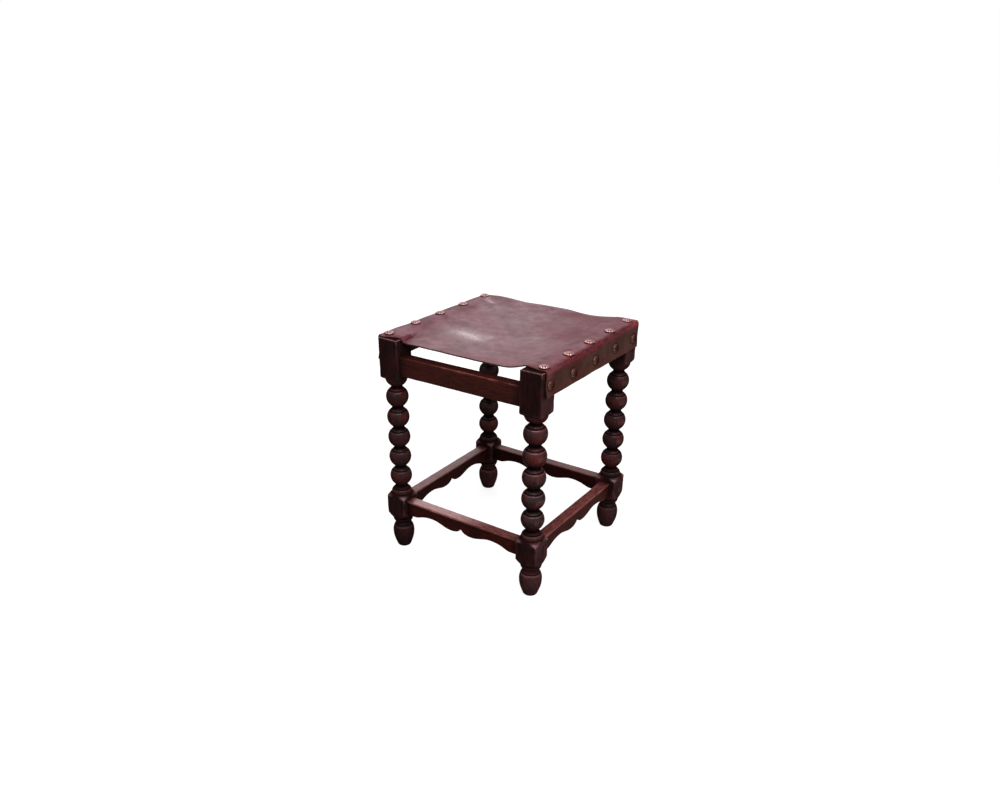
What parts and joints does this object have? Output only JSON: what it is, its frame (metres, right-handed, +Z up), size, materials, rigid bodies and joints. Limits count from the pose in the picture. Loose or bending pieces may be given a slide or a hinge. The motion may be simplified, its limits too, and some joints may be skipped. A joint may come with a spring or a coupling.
{
  "type": "stool",
  "caption": "Square stool on bobbin-turned legs joined by bowed stretchers, with a sling seat of thick hide studded along both sides.",
  "frame": {"origin": "on the floor, midway between the feet", "axes": "+Z up, +X to the right and -Y to the front, with the studded sides of the hide at -X and +X"},
  "size_m": [0.3674, 0.3564, 0.4569],
  "materials": {
    "turned_oak": "waxed",
    "seat_rail_oak": "waxed",
    "side_rail_oak": "waxed",
    "stretcher_oak": "waxed",
    "oxblood_hide": "worn",
    "pressed_copper": "satin"
  },
  "bodies": {
    "root": {"leg_front_left": "turned_oak", "leg_front_right": "turned_oak", "leg_back_right": "turned_oak", "leg_back_left": "turned_oak", "seat_rail_front": "seat_rail_oak", "seat_rail_back": "seat_rail_oak", "side_rail_right": "side_rail_oak", "side_rail_left": "side_rail_oak", "stretcher_front": "stretcher_oak", "stretcher_right": "stretcher_oak", "stretcher_back": "stretcher_oak", "stretcher_left": "stretcher_oak", "seat_hide": "oxblood_hide", "stud_top_left_1": "pressed_copper", "stud_top_left_2": "pressed_copper", "stud_top_left_3": "pressed_copper", "stud_top_left_4": "pressed_copper", "stud_top_left_5": "pressed_copper", "stud_top_right_1": "pressed_copper", "stud_top_right_2": "pressed_copper", "stud_top_right_3": "pressed_copper", "stud_top_right_4": "pressed_copper", "stud_top_right_5": "pressed_copper", "stud_side_left_1": "pressed_copper", "stud_side_left_2": "pressed_copper", "stud_side_left_3": "pressed_copper", "stud_side_left_4": "pressed_copper", "stud_side_left_5": "pressed_copper", "stud_side_right_1": "pressed_copper", "stud_side_right_2": "pressed_copper", "stud_side_right_3": "pressed_copper", "stud_side_right_4": "pressed_copper", "stud_side_right_5": "pressed_copper"}
  },
  "joints": []
}
